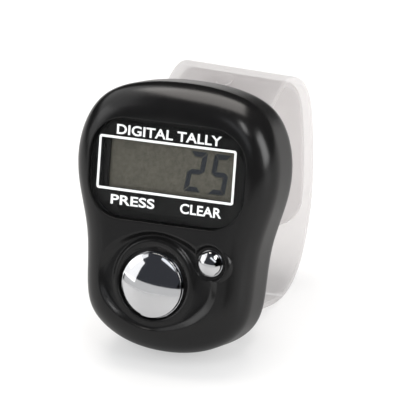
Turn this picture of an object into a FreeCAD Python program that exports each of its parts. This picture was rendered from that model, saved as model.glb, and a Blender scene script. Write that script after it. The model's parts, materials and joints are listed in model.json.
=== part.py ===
import FreeCAD, Part
import math
import os

# Finger ring tally counter, in millimetres. Everything is modelled in the case's own frame: X to the
# right, Y into the case from its face, Z up the face, zero at the middle of the display. At the end it
# is leant back onto its strap, the way it rests on a table.

V = FreeCAD.Vector

# Case. The outline is half of a symmetric curve, from the top middle down to the bottom middle.
CASE_OUTLINE = [(0, 11.92), (6.6, 11.35), (12.2, 8.95), (15.15, 3.55), (15.2, -3.2), (13.42, -10.2),
                (12.85, -16.4), (11.75, -21.75), (7.4, -25.4), (0, -26.85)]
CASE_DEPTH = 11.7
FACE_ROUNDING = 4.8
REAR_ROUNDING = 3.2
WALL = 2.0
FACE_THICKNESS = 2.3
CAVITY_ROUNDING = 0.6

# Display lens, its printed mask and the window behind them.
LENS_HALF_WIDTH = 12.0
LENS_HALF_HEIGHT = 7.1
LENS_Z = -0.75
LENS_CORNER = 5.2
LENS_FRONT = 0.45
LENS_THICKNESS = 0.85
LENS_GAP = 0.12
MASK_THICKNESS = 0.1
MASK_WINDOW_X = -0.2
MASK_WINDOW_Z = -0.15
MASK_WINDOW_HALF_WIDTH = 10.32
MASK_WINDOW_HALF_HEIGHT = 3.55
WINDOW_LEFT = -9.5
WINDOW_RIGHT = 10.6
WINDOW_HALF_HEIGHT = 4.0

# Liquid crystal display stack.
LCD_FRONT = 1.9
LCD_HALF_WIDTH = 11.0
LCD_TOP = 4.7
LCD_BOTTOM = -4.5
LCD_LEDGE_BOTTOM = -5.7
POLARISER_THICKNESS = 0.2
GLASS_THICKNESS = 0.7
HOLDER_HALF_WIDTH = 11.9
HOLDER_TOP = 5.6
HOLDER_BOTTOM = -6.8
HOLDER_CORNER = 1.6
HOLDER_WEB = 0.5
STRIP_HALF_LENGTH = 10.0

# Circuit board.
BOARD_FRONT = 6.2
BOARD_THICKNESS = 0.8
BOARD_EDGE_GAP = 0.35
CONTACT_THICKNESS = 0.06

# Count and reset buttons: (x, z) of each axis, then radii and depths along Y.
COUNT_AXIS = (-1.36, -16.96)
COUNT_DOME_RADIUS = 4.7
COUNT_GUIDE_RADIUS = 4.75
COUNT_DOME_RIM = 0.75
COUNT_CROWN = -0.35
COUNT_FLANGE_RADIUS = 5.5
COUNT_STEM_RADIUS = 1.6
COUNT_STEM_END = 4.9
COUNT_PILL_END = 5.4
RESET_AXIS = (7.37, -12.73)
RESET_DOME_RADIUS = 1.8
RESET_GUIDE_RADIUS = 1.88
RESET_DOME_RIM = 0.6
RESET_CROWN = -0.15
RESET_FLANGE_RADIUS = 2.6
RESET_STEM_RADIUS = 0.8
RESET_STEM_END = 5.1
RESET_PILL_END = 5.5
GUIDE_CLEARANCE = 0.08
DOME_SHOULDER = 0.55
FLANGE_FRONT = 2.32
FLANGE_THICKNESS = 0.7

# Finger dish round the count button and countersink round the reset button.
DISH_DEPTH = 0.95
DISH_CENTRE = (-0.3, -16.2)
DISH_HALF_WIDTH = 9.7
DISH_HALF_HEIGHT = 7.05
DISH_FLOOR_CENTRE = (-0.6, -16.5)
DISH_FLOOR_RADIUS = 6.9
DISH_TILT = 2.0
LIP_CENTRE = (-0.94, -16.34)
LIP_CREST_DEPTH = 0.42
LIP_INNER_RADIUS = 5.62
LIP_OUTER_RADIUS = 5.87
LIP_FOOT_RADIUS = 6.6
LIP_FUNNEL_RADIUS = 4.85
LIP_FUNNEL_DEPTH = 1.2
RESET_LIP_DEPTH = 0.12
RESET_LIP_RADIUS = 2.95
RESET_LIP_FOOT_RADIUS = 3.7
DISH_OVERSHOOT = 0.6
SINK_RADIUS = 3.2
SINK_FLOOR_RADIUS = 2.3
SINK_DEPTH = 0.9

# Screws.
CASE_SCREWS = [(-7.3, 7.35), (7.3, 7.35), (-6.9, -21.6), (6.9, -21.6)]
POST_RADIUS = 1.5
CASE_SCREW_SHANK = 0.6
CASE_SCREW_HEAD = 1.2
CASE_SCREW_LENGTH = 5.5
BOARD_SCREWS = [(-10.0, -9.2), (10.0, -9.2), (0, 7.6)]
BOSS_RADIUS = 1.2
BOARD_SCREW_SHANK = 0.5
BOARD_SCREW_HEAD = 1.0
BOARD_SCREW_LENGTH = 3.2
THREAD_CLEARANCE = 0.02
SCREW_SLOT = 0.3

# Back cover, battery and sliding battery door.
COVER_BACK = 11.45
COVER_THICKNESS = 1.3
COVER_EDGE_GAP = 0.08
CELL_AXIS = (0, -5.5)
CELL_RADIUS = 5.8
CELL_THICKNESS = 3.05
CELL_BACK = 11.25
CUP_RADIUS = 5.95
CUP_WALL = 0.8
CUP_FRONT = 7.9
DOOR_HALF = 7.2
DOOR_THICKNESS = 0.88
DOOR_GAP = 0.05
RAIL_HEIGHT = 1.5
RAIL_WALL = 0.8
RAIL_LIP = 0.8

# Strap: the right edge of its outer face, (y, z) from the upper pin round to the lower one. The soft strap
# sits a little askew, its left edge rising above the right one towards the top.
STRAP_HALF_WIDTH = 8.7
STRAP_THICKNESS = 0.9
STRAP_PATH = [(13.4, 6.7), (16.7, 9.1), (20.5, 11.75), (24.6, 12.2), (30.0, 9.9), (33.3, 3.2),
              (34.7, -5.5), (33.5, -12.9), (29.9, -18.5), (25.1, -20.9), (20.3, -21.4), (14.0, -21.4)]
STRAP_TWIST = 0.66
STRAP_TOP = 12.2
UPPER_PIN = (14.2, 5.4)
LOWER_PIN = (14.0, -19.9)
KNUCKLE_RADIUS = 1.5
PIN_RADIUS = 0.7
PIN_CLEARANCE = 0.03
LUG_INNER = 8.85
LUG_OUTER = 9.8
LUG_RADIUS = 1.6
TONGUE_INSET = 1.1
TONGUE_GAP = 0.02
TONGUE_START = 16.3
TONGUE_END = -11.5
TONGUE_CORNER = 4.6
PEG_STATION = 18.9
PEG_RADIUS = 0.8
PEG_HEAD_RADIUS = 1.25
PEG_HEAD_THICKNESS = 0.35

COVER_FRONT = COVER_BACK - COVER_THICKNESS
MASK_FRONT = LENS_FRONT + LENS_THICKNESS
LENS_LEDGE = MASK_FRONT + MASK_THICKNESS
GLASS_SEAM = LCD_FRONT + POLARISER_THICKNESS + GLASS_THICKNESS
GLASS_BACK = GLASS_SEAM + GLASS_THICKNESS
REFLECTOR_BACK = GLASS_BACK + POLARISER_THICKNESS
BOARD_BACK = BOARD_FRONT + BOARD_THICKNESS
FLANGE_BACK = FLANGE_FRONT + FLANGE_THICKNESS


def case_curve():
    """The case's outline as one smooth closed curve in the XZ plane."""
    right = [V(x, 0, z) for x, z in CASE_OUTLINE]
    left = [V(-x, 0, z) for x, z in reversed(CASE_OUTLINE[1:-1])]
    curve = Part.BSplineCurve()
    curve.interpolate(right + left, PeriodicFlag=True)
    return curve


def outline_prism(inset, front, back):
    """The case's outline moved inwards by inset, extruded from front to back."""
    curve = case_curve()
    points = []
    for x, z in CASE_OUTLINE + [(-x, z) for x, z in reversed(CASE_OUTLINE[1:-1])]:
        tangent = curve.tangent(curve.parameter(V(x, 0, z)))[0]
        inward = V(tangent.z, 0, -tangent.x)
        if inward.dot(V(-x, 0, -7 - z)) < 0:
            inward = -inward
        points.append(V(x, front, z) + inward * inset)
    edge = Part.BSplineCurve()
    edge.interpolate(points, PeriodicFlag=True)
    face = Part.Face(Part.Wire([edge.toShape()]))
    return face.extrude(V(0, back - front, 0))


def edges_at(shape, depth):
    """Edges that lie wholly in the plane at this depth."""
    found = []
    for edge in shape.Edges:
        box = edge.BoundBox
        if abs(box.YMin - depth) < 0.01 and abs(box.YMax - depth) < 0.01:
            found.append(edge)
    return found


def cylinder(axis, radius, front, back):
    """A round bar along Y at axis = (x, z)."""
    return Part.makeCylinder(radius, back - front, V(axis[0], front, axis[1]), V(0, 1, 0))


def cone(axis, front_radius, back_radius, front, back):
    """A round taper along Y at axis = (x, z)."""
    return Part.makeCone(front_radius, back_radius, back - front, V(axis[0], front, axis[1]), V(0, 1, 0))


def block(x0, x1, front, back, z0, z1):
    return Part.makeBox(x1 - x0, back - front, z1 - z0, V(x0, front, z0))


def rounded_block(x0, x1, front, back, z0, z1, corner):
    """A block whose four edges along Y are rounded."""
    shape = block(x0, x1, front, back, z0, z1)
    edges = [e for e in shape.Edges if abs(e.tangentAt(e.FirstParameter).y) > 0.99]
    return shape.makeFillet(corner, edges)


def bar_x(point, radius, x0, x1):
    """A round bar along X at point = (y, z)."""
    return Part.makeCylinder(radius, x1 - x0, V(x0, point[0], point[1]), V(1, 0, 0))


def revolved(axis, profile):
    """A solid of revolution about the line along Y at axis, from a closed (radius, y) profile."""
    points = [V(axis[0] + r, y, axis[1]) for r, y in profile]
    face = Part.Face(Part.makePolygon(points + points[:1]))
    return face.revolve(V(axis[0], 0, axis[1]), V(0, 1, 0), 360)


def lens_block(grow, front, back):
    """The lens's rounded outline, grown by grow."""
    return rounded_block(-LENS_HALF_WIDTH - grow, LENS_HALF_WIDTH + grow, front, back,
                         LENS_Z - LENS_HALF_HEIGHT - grow, LENS_Z + LENS_HALF_HEIGHT + grow,
                         LENS_CORNER + grow)


def circle_wire(axis, radius, depth):
    circle = Part.Circle(V(axis[0], depth, axis[1]), V(0, 1, 0), radius)
    return Part.Wire([circle.toShape()])


def dish_section(depth):
    """The finger dish's ellipse at one depth; it narrows to a circle at the floor."""
    share = depth / DISH_DEPTH
    half_width = DISH_HALF_WIDTH + (DISH_FLOOR_RADIUS - DISH_HALF_WIDTH) * share
    half_height = DISH_HALF_HEIGHT + (DISH_FLOOR_RADIUS - DISH_HALF_HEIGHT) * share
    x = DISH_CENTRE[0] + (DISH_FLOOR_CENTRE[0] - DISH_CENTRE[0]) * share
    z = DISH_CENTRE[1] + (DISH_FLOOR_CENTRE[1] - DISH_CENTRE[1]) * share
    centre = V(x, depth, z)
    half_height = min(half_height, half_width - 0.001)
    ellipse = Part.Ellipse(centre + V(half_width, 0, 0), centre + V(0, 0, half_height), centre)
    return Part.Wire([ellipse.toShape()])


def finger_dish():
    """The dish, deepest at its top: it tilts about the top of its floor."""
    dish = Part.makeLoft([dish_section(-DISH_OVERSHOOT), dish_section(DISH_DEPTH)], True, True)
    hinge = V(0, DISH_DEPTH, DISH_FLOOR_CENTRE[1] + DISH_FLOOR_RADIUS)
    dish.rotate(hinge, V(1, 0, 0), -DISH_TILT)
    return dish


def button_lip():
    """The raised lip round the count button: it slopes down to the dish outside, to the button inside."""
    slope = cone(LIP_CENTRE, LIP_OUTER_RADIUS, LIP_FOOT_RADIUS, LIP_CREST_DEPTH, DISH_DEPTH)
    foot = cylinder(LIP_CENTRE, LIP_FOOT_RADIUS, DISH_DEPTH, FACE_THICKNESS - 0.4)
    return slope.fuse(foot).cut(button_funnel())


def button_funnel():
    """The space inside the lip, from its wide crest back to the button's own axis."""
    wide = circle_wire(LIP_CENTRE, LIP_INNER_RADIUS, LIP_CREST_DEPTH)
    narrow = circle_wire(COUNT_AXIS, LIP_FUNNEL_RADIUS, LIP_FUNNEL_DEPTH)
    return Part.makeLoft([wide, narrow], True, True)


def reset_lip():
    """The rounded collar that keeps the reset button's edge level where the face falls away."""
    return revolved(RESET_AXIS, [(RESET_GUIDE_RADIUS, FACE_THICKNESS - 0.4),
                                 (RESET_GUIDE_RADIUS, RESET_LIP_DEPTH),
                                 (RESET_LIP_RADIUS, RESET_LIP_DEPTH),
                                 (RESET_LIP_FOOT_RADIUS, RESET_LIP_DEPTH + 0.75),
                                 (RESET_LIP_FOOT_RADIUS, FACE_THICKNESS - 0.4)])


def reset_sink():
    """The countersink round the reset button, carried on above the face."""
    slope = (SINK_RADIUS - SINK_FLOOR_RADIUS) / SINK_DEPTH
    top = SINK_RADIUS + slope * DISH_OVERSHOOT
    return cone(RESET_AXIS, top, SINK_FLOOR_RADIUS, -DISH_OVERSHOOT, SINK_DEPTH)


def front_case():
    outer = outline_prism(0, 0, CASE_DEPTH)
    outer = outer.makeFillet(FACE_ROUNDING, edges_at(outer, 0))
    outer = outer.makeFillet(REAR_ROUNDING, edges_at(outer, CASE_DEPTH))
    cavity = outline_prism(WALL, FACE_THICKNESS, CASE_DEPTH + 1)
    cavity = cavity.makeFillet(CAVITY_ROUNDING, edges_at(cavity, FACE_THICKNESS))
    for axis in CASE_SCREWS:
        cavity = cavity.cut(cylinder(axis, POST_RADIUS, 0, COVER_FRONT))
    for axis in BOARD_SCREWS:
        cavity = cavity.cut(cylinder(axis, BOSS_RADIUS, 0, BOARD_FRONT))
    shell = outer.cut([cavity, finger_dish(), button_funnel()]).fuse([button_lip(), reset_lip()])
    cuts = [reset_sink(), lens_block(LENS_GAP, -1, LENS_LEDGE)]
    cuts.append(block(WINDOW_LEFT, WINDOW_RIGHT, 0, 4, -WINDOW_HALF_HEIGHT, WINDOW_HALF_HEIGHT))
    cuts.append(block(-LCD_HALF_WIDTH - 0.1, LCD_HALF_WIDTH + 0.1, LCD_FRONT, FACE_THICKNESS + 0.1,
                      LCD_LEDGE_BOTTOM - 0.1, LCD_TOP + 0.1))
    cuts.append(cylinder(COUNT_AXIS, COUNT_GUIDE_RADIUS + GUIDE_CLEARANCE, 0, 4))
    cuts.append(cylinder(RESET_AXIS, RESET_GUIDE_RADIUS + GUIDE_CLEARANCE, 0, 4))
    for axis in CASE_SCREWS:
        cuts.append(cylinder(axis, CASE_SCREW_SHANK + THREAD_CLEARANCE, COVER_FRONT - 5, COVER_FRONT))
    for axis in BOARD_SCREWS:
        cuts.append(cylinder(axis, BOARD_SCREW_SHANK + THREAD_CLEARANCE, BOARD_FRONT - 2.6, BOARD_FRONT))
    return shell.cut(cuts)


def display_lens():
    lens = lens_block(0, LENS_FRONT, MASK_FRONT)
    return lens.makeFillet(0.2, edges_at(lens, LENS_FRONT))


def lens_mask():
    """The black print behind the lens, open at the display."""
    window = block(MASK_WINDOW_X - MASK_WINDOW_HALF_WIDTH, MASK_WINDOW_X + MASK_WINDOW_HALF_WIDTH, 0, 4,
                   MASK_WINDOW_Z - MASK_WINDOW_HALF_HEIGHT, MASK_WINDOW_Z + MASK_WINDOW_HALF_HEIGHT)
    return lens_block(-0.1, MASK_FRONT, LENS_LEDGE).cut(window)


def lcd_polariser():
    return block(-LCD_HALF_WIDTH + 0.3, LCD_HALF_WIDTH - 0.3, LCD_FRONT, LCD_FRONT + POLARISER_THICKNESS,
                 LCD_BOTTOM, LCD_TOP - 0.3)


def lcd_front_glass():
    """The larger glass; its lower ledge carries the contacts."""
    return block(-LCD_HALF_WIDTH, LCD_HALF_WIDTH, LCD_FRONT + POLARISER_THICKNESS, GLASS_SEAM,
                 LCD_LEDGE_BOTTOM, LCD_TOP)


def lcd_rear_glass():
    return block(-LCD_HALF_WIDTH, LCD_HALF_WIDTH, GLASS_SEAM, GLASS_BACK, LCD_BOTTOM, LCD_TOP)


def lcd_reflector():
    return block(-LCD_HALF_WIDTH + 0.3, LCD_HALF_WIDTH - 0.3, GLASS_BACK, REFLECTOR_BACK,
                 LCD_BOTTOM + 0.3, LCD_TOP - 0.3)


def lcd_holder():
    """The tray that presses the glass against the window and spaces it from the board."""
    tray = rounded_block(-HOLDER_HALF_WIDTH, HOLDER_HALF_WIDTH, FACE_THICKNESS + 0.05, BOARD_FRONT,
                         HOLDER_BOTTOM, HOLDER_TOP, HOLDER_CORNER)
    glass = block(-LCD_HALF_WIDTH - 0.1, LCD_HALF_WIDTH + 0.1, 0, REFLECTOR_BACK,
                  LCD_LEDGE_BOTTOM - 0.1, LCD_TOP + 0.1)
    strip = block(-STRIP_HALF_LENGTH - 0.1, STRIP_HALF_LENGTH + 0.1, 0, BOARD_FRONT + 1,
                  LCD_LEDGE_BOTTOM - 0.1, LCD_BOTTOM - 0.1)
    relief = block(-9.4, 9.4, REFLECTOR_BACK + HOLDER_WEB, BOARD_FRONT + 1, LCD_BOTTOM + 0.8, LCD_TOP - 0.6)
    return tray.cut([glass, strip, relief])


def contact_strip():
    """The striped rubber connector between the glass's ledge and the board."""
    return block(-STRIP_HALF_LENGTH, STRIP_HALF_LENGTH, GLASS_SEAM, BOARD_FRONT,
                 LCD_LEDGE_BOTTOM, LCD_BOTTOM - 0.2)


def circuit_board():
    board = outline_prism(WALL + BOARD_EDGE_GAP, BOARD_FRONT, BOARD_BACK)
    holes = [cylinder(axis, POST_RADIUS + 0.25, 0, 12) for axis in CASE_SCREWS]
    holes += [cylinder(axis, BOARD_SCREW_SHANK + 0.15, 0, 12) for axis in BOARD_SCREWS]
    return board.cut(holes)


def key_contacts():
    """The switch pads printed on the board under the two buttons."""
    front = BOARD_FRONT - CONTACT_THICKNESS
    return Part.makeCompound([cylinder(COUNT_AXIS, 1.7, front, BOARD_FRONT),
                              cylinder(RESET_AXIS, 1.0, front, BOARD_FRONT)])


def chip_blob():
    """The domed resin drop over the counter chip."""
    radius = 4.0
    ball = Part.makeSphere(radius, V(-4.2, BOARD_BACK + 1.1 - radius, 3.6))
    return ball.common(block(-10, 5, BOARD_BACK, BOARD_BACK + 2, 0, 10))


def crystal():
    can = bar_x((BOARD_BACK + 0.85, 4.6), 0.85, 2.6, 7.0)
    return can.makeFillet(0.2, [e for e in can.Edges if e.isClosed()])


def chip_parts():
    """Small soldered chip capacitors and resistors."""
    places = [(-9.3, -12.6), (-9.3, -14.4), (8.6, -16.2), (8.6, -18.0)]
    return Part.makeCompound([block(x - 1, x + 1, BOARD_BACK, BOARD_BACK + 0.6, z - 0.6, z + 0.6)
                              for x, z in places])


def button(axis, dome_radius, guide_radius, rim, crown, flange_radius, stem_radius, stem_end):
    """A domed cap with a hidden guide, a flange that keeps it in the case, and a stem."""
    height = rim - crown
    curvature = (dome_radius ** 2 + height ** 2) / (2 * height)
    ball = Part.makeSphere(curvature, V(axis[0], crown + curvature, axis[1]))
    cap = ball.common(cylinder(axis, dome_radius, crown - 1, rim))
    skirt = cylinder(axis, dome_radius, rim, rim + DOME_SHOULDER)
    guide = cylinder(axis, guide_radius, rim + DOME_SHOULDER, FLANGE_FRONT)
    flange = cylinder(axis, flange_radius, FLANGE_FRONT, FLANGE_BACK)
    stem = cylinder(axis, stem_radius, FLANGE_BACK, stem_end)
    return cap.fuse([skirt, guide, flange, stem]).removeSplitter()


def count_button():
    return button(COUNT_AXIS, COUNT_DOME_RADIUS, COUNT_GUIDE_RADIUS, COUNT_DOME_RIM, COUNT_CROWN,
                  COUNT_FLANGE_RADIUS, COUNT_STEM_RADIUS, COUNT_STEM_END)


def reset_button():
    return button(RESET_AXIS, RESET_DOME_RADIUS, RESET_GUIDE_RADIUS, RESET_DOME_RIM, RESET_CROWN,
                  RESET_FLANGE_RADIUS, RESET_STEM_RADIUS, RESET_STEM_END)


def count_pill():
    return cylinder(COUNT_AXIS, COUNT_STEM_RADIUS - 0.1, COUNT_STEM_END, COUNT_PILL_END)


def reset_pill():
    return cylinder(RESET_AXIS, RESET_STEM_RADIUS - 0.05, RESET_STEM_END, RESET_PILL_END)


def rubber_dome(axis, foot_radius, top_radius):
    """A springy rubber cone that stands on the board and lifts the button's flange."""
    web = 0.45
    profile = [(foot_radius, BOARD_FRONT), (foot_radius, BOARD_FRONT - 0.4),
               (foot_radius - 0.5, BOARD_FRONT - 0.6), (top_radius, FLANGE_BACK),
               (top_radius - web - 0.15, FLANGE_BACK), (foot_radius - 1.1, BOARD_FRONT)]
    return revolved(axis, profile)


def count_dome():
    return rubber_dome(COUNT_AXIS, 5.2, 2.9)


def reset_dome():
    return rubber_dome(RESET_AXIS, 2.8, 1.7)


def coin_cell():
    cell_front = CELL_BACK - CELL_THICKNESS
    can = cylinder(CELL_AXIS, CELL_RADIUS, cell_front + 0.35, CELL_BACK)
    can = can.makeFillet(0.25, edges_at(can, CELL_BACK))
    cap = cylinder(CELL_AXIS, CELL_RADIUS - 0.7, cell_front, cell_front + 0.35)
    return can.fuse(cap).removeSplitter()


def bent_strip(points, thickness, z0, z1):
    """A thin metal strip through (x, y) points, as wide as z0 to z1."""
    low = [V(x, y, z0) for x, y in points]
    high = [V(x, y + thickness, z0) for x, y in reversed(points)]
    face = Part.Face(Part.makePolygon(low + high + low[:1]))
    return face.extrude(V(0, 0, z1 - z0))


def battery_contact_negative():
    """A leaf that reaches from the board to the cell's inner face."""
    leaf = CELL_BACK - CELL_THICKNESS - 0.15
    points = [(-3.6, BOARD_BACK), (-1.8, BOARD_BACK), (0.6, leaf), (2.4, leaf)]
    return bent_strip(points, 0.15, CELL_AXIS[1] - 1.1, CELL_AXIS[1] + 1.1)


def battery_contact_positive():
    """A bracket that stands on the board against the cell's rim."""
    z = CELL_AXIS[1]
    foot = block(CELL_RADIUS + 0.02, CELL_RADIUS + 2.2, BOARD_BACK, BOARD_BACK + 0.15, z - 1, z + 1)
    blade = block(CELL_RADIUS + 0.02, CELL_RADIUS + 0.17, BOARD_BACK, COVER_FRONT - 0.4, z - 1, z + 1)
    return foot.fuse(blade).removeSplitter()


def lug(pin, x0, x1):
    """One ear that holds a strap pin, standing on the back cover."""
    ear = bar_x(pin, LUG_RADIUS, x0, x1)
    foot = block(x0, x1, COVER_BACK, pin[0], pin[1] - LUG_RADIUS, pin[1] + LUG_RADIUS)
    return ear.fuse(foot)


def rail(edge, side):
    """One channel of the battery door: a wall past the door's edge and a lip over it."""
    wall_start = edge + side * DOOR_GAP
    wall_end = wall_start + side * RAIL_WALL
    lip_end = wall_start - side * RAIL_LIP
    top = COVER_BACK + RAIL_HEIGHT
    lip_front = COVER_BACK + DOOR_THICKNESS + 0.12
    wall = block(-DOOR_HALF, DOOR_HALF, COVER_BACK - 0.5, top, *sorted((wall_start, wall_end)))
    lip = block(-DOOR_HALF, DOOR_HALF, lip_front, top, *sorted((lip_end, wall_end)))
    return wall.fuse(lip)


def back_cover():
    plate = outline_prism(WALL + COVER_EDGE_GAP, COVER_FRONT, COVER_BACK)
    cup = cylinder(CELL_AXIS, CUP_RADIUS + CUP_WALL, CUP_FRONT, COVER_FRONT + 0.5)
    solids = [cup, rail(CELL_AXIS[1] + DOOR_HALF, 1), rail(CELL_AXIS[1] - DOOR_HALF, -1)]
    solids.append(block(DOOR_HALF + DOOR_GAP, DOOR_HALF + 0.8,
                        COVER_BACK - 0.5, COVER_BACK + DOOR_THICKNESS,
                        CELL_AXIS[1] - 4, CELL_AXIS[1] + 4))
    for pin in (UPPER_PIN, LOWER_PIN):
        solids.append(lug(pin, LUG_INNER, LUG_OUTER))
        solids.append(lug(pin, -LUG_OUTER, -LUG_INNER))
    cover = plate.fuse(solids)
    cuts = [cylinder(CELL_AXIS, CUP_RADIUS, CUP_FRONT - 1, COVER_BACK + 0.01)]
    cuts.append(block(CELL_RADIUS - 1, CELL_RADIUS + 0.5, CUP_FRONT - 1, COVER_FRONT,
                      CELL_AXIS[1] - 1.2, CELL_AXIS[1] + 1.2))
    for axis in CASE_SCREWS:
        cuts.append(cylinder(axis, CASE_SCREW_SHANK + 0.1, 0, 20))
        cuts.append(cone(axis, CASE_SCREW_SHANK + 0.1, CASE_SCREW_HEAD + 0.1, COVER_BACK - 0.7, COVER_BACK))
    for pin in (UPPER_PIN, LOWER_PIN):
        cuts.append(bar_x(pin, PIN_RADIUS + PIN_CLEARANCE, -LUG_OUTER - 1, LUG_OUTER + 1))
    return cover.cut(cuts).removeSplitter()


def battery_door():
    low = CELL_AXIS[1] - DOOR_HALF
    high = CELL_AXIS[1] + DOOR_HALF
    plate = block(-DOOR_HALF, DOOR_HALF, COVER_BACK + 0.02, COVER_BACK + DOOR_THICKNESS, low, high)
    ridges = [block(x, x + 0.5, COVER_BACK + 0.5, COVER_BACK + DOOR_THICKNESS + 0.35,
                    CELL_AXIS[1] - 3.2, CELL_AXIS[1] + 3.2)
              for x in (-5.6, -4.4, -3.2, -2.0)]
    return plate.fuse(ridges).removeSplitter()


def case_screw(axis):
    """A countersunk screw with a plain slot."""
    shank = cylinder(axis, CASE_SCREW_SHANK, COVER_BACK - CASE_SCREW_LENGTH, COVER_BACK - 0.1)
    head = cone(axis, CASE_SCREW_SHANK, CASE_SCREW_HEAD, COVER_BACK - 0.7, COVER_BACK - 0.05)
    slot = block(axis[0] - 2, axis[0] + 2, COVER_BACK - 0.35, COVER_BACK + 1,
                 axis[1] - SCREW_SLOT / 2, axis[1] + SCREW_SLOT / 2)
    return shank.fuse(head).cut(slot).removeSplitter()


def board_screw(axis):
    """A pan-head screw with a plain slot."""
    shank = cylinder(axis, BOARD_SCREW_SHANK, BOARD_BACK + 0.1 - BOARD_SCREW_LENGTH, BOARD_BACK + 0.1)
    head = cylinder(axis, BOARD_SCREW_HEAD, BOARD_BACK, BOARD_BACK + 0.6)
    slot = block(axis[0] - 2, axis[0] + 2, BOARD_BACK + 0.35, BOARD_BACK + 1,
                 axis[1] - SCREW_SLOT / 2, axis[1] + SCREW_SLOT / 2)
    return shank.fuse(head).cut(slot).removeSplitter()


def strap_curve(inset, x):
    """The strap's side-view curve at this x, moved into the loop by inset."""
    lift = STRAP_TWIST * (STRAP_HALF_WIDTH - x) / (2 * STRAP_HALF_WIDTH)
    rise = STRAP_TOP - UPPER_PIN[1]
    path = [V(x, y, z + lift * max(0, z - UPPER_PIN[1]) / rise) for y, z in STRAP_PATH]
    curve = Part.BSplineCurve()
    curve.interpolate(path)
    points = []
    for point in path:
        tangent = curve.tangent(curve.parameter(point))[0]
        points.append(point + V(0, tangent.z, -tangent.y) * inset)
    moved = Part.BSplineCurve()
    moved.interpolate(points)
    return moved


def strap_section(outer_inset, inner_inset, x):
    outer = strap_curve(outer_inset, x)
    inner = strap_curve(inner_inset, x)
    first = Part.LineSegment(outer.EndPoint, inner.EndPoint).toShape()
    last = Part.LineSegment(inner.StartPoint, outer.StartPoint).toShape()
    return Part.Wire([outer.toShape(), first, inner.toShape(), last])


def strap_layer(outer_inset, inner_inset, half_width):
    """A band between two depths below the strap's outer face."""
    sections = [strap_section(outer_inset, inner_inset, x) for x in (-half_width, half_width)]
    return Part.makeLoft(sections, True, True)


def peg_line():
    """Where the peg crosses the strap's outer face, and its direction into the loop."""
    curve = strap_curve(0, 0)
    upper = [p for p in curve.discretize(400) if p.z > 0]
    point = min(upper, key=lambda p: abs(p.y - PEG_STATION))
    tangent = curve.tangent(curve.parameter(point))[0]
    return point, V(0, tangent.z, -tangent.y)


def peg_bar(radius, start, end):
    point, inward = peg_line()
    return Part.makeCylinder(radius, end - start, point + inward * start, inward)


def strap_outer():
    band = strap_layer(0, STRAP_THICKNESS, STRAP_HALF_WIDTH)
    knuckles = [bar_x(pin, KNUCKLE_RADIUS, -STRAP_HALF_WIDTH, STRAP_HALF_WIDTH)
                for pin in (UPPER_PIN, LOWER_PIN)]
    eyes = [bar_x(pin, PIN_RADIUS + PIN_CLEARANCE, -20, 20) for pin in (UPPER_PIN, LOWER_PIN)]
    return band.fuse(knuckles).cut(eyes + [peg_bar(PEG_RADIUS + 0.05, -5, 3)])


def strap_tongue():
    half_width = STRAP_HALF_WIDTH - TONGUE_INSET
    start = STRAP_THICKNESS + TONGUE_GAP
    band = strap_layer(start, start + STRAP_THICKNESS, half_width)
    reach = rounded_block(-half_width, half_width, TONGUE_START, 45, TONGUE_END, TONGUE_END + 40,
                          TONGUE_CORNER)
    return band.common(reach).cut(peg_bar(PEG_RADIUS + 0.05, -5, 3))


def strap_peg():
    """A stud through both layers, with a low head on each side."""
    inner = 2 * STRAP_THICKNESS + TONGUE_GAP + 0.1
    shank = peg_bar(PEG_RADIUS, 0, inner)
    head = peg_bar(PEG_HEAD_RADIUS, -PEG_HEAD_THICKNESS - 0.05, -0.05)
    foot = peg_bar(PEG_HEAD_RADIUS, inner, inner + PEG_HEAD_THICKNESS)
    neck = peg_bar(PEG_RADIUS, -PEG_HEAD_THICKNESS, 0)
    return shank.fuse([head, foot, neck]).removeSplitter()


def strap_pins():
    return Part.makeCompound([bar_x(pin, PIN_RADIUS, -LUG_OUTER, LUG_OUTER)
                              for pin in (UPPER_PIN, LOWER_PIN)])


def resting_lean():
    """The lean, in radians, at which the case's rear rounding and the strap touch the same floor."""
    heel = V(0, CASE_DEPTH - REAR_ROUNDING, CASE_OUTLINE[-1][1] + REAR_ROUNDING)
    strap = strap_curve(0, 0).discretize(2000)
    low = 0.0
    high = math.radians(45)
    while high - low > 1e-7:
        lean = (low + high) / 2
        down = V(0, math.sin(lean), -math.cos(lean))
        case_reach = heel.dot(down) + REAR_ROUNDING
        if max(p.dot(down) for p in strap) < case_reach:
            low = lean
        else:
            high = lean
    return low


def placed(shapes):
    """All the pieces leant back, standing on Z = 0 and centred in X and Y."""
    lean = resting_lean()
    turned = {}
    box = FreeCAD.BoundBox()
    for name, shape in shapes.items():
        copy = shape.copy()
        copy.rotate(V(0, 0, 0), V(1, 0, 0), -math.degrees(lean))
        turned[name] = copy
        box.add(copy.optimalBoundingBox(False, False))
    shift = V(-(box.XMin + box.XMax) / 2, -(box.YMin + box.YMax) / 2, -box.ZMin)
    for shape in turned.values():
        shape.translate(shift)
    print("lean", math.degrees(lean), "shift", shift.x, shift.y, shift.z)
    print("size", box.XLength, box.YLength, box.ZLength)
    return turned


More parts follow.
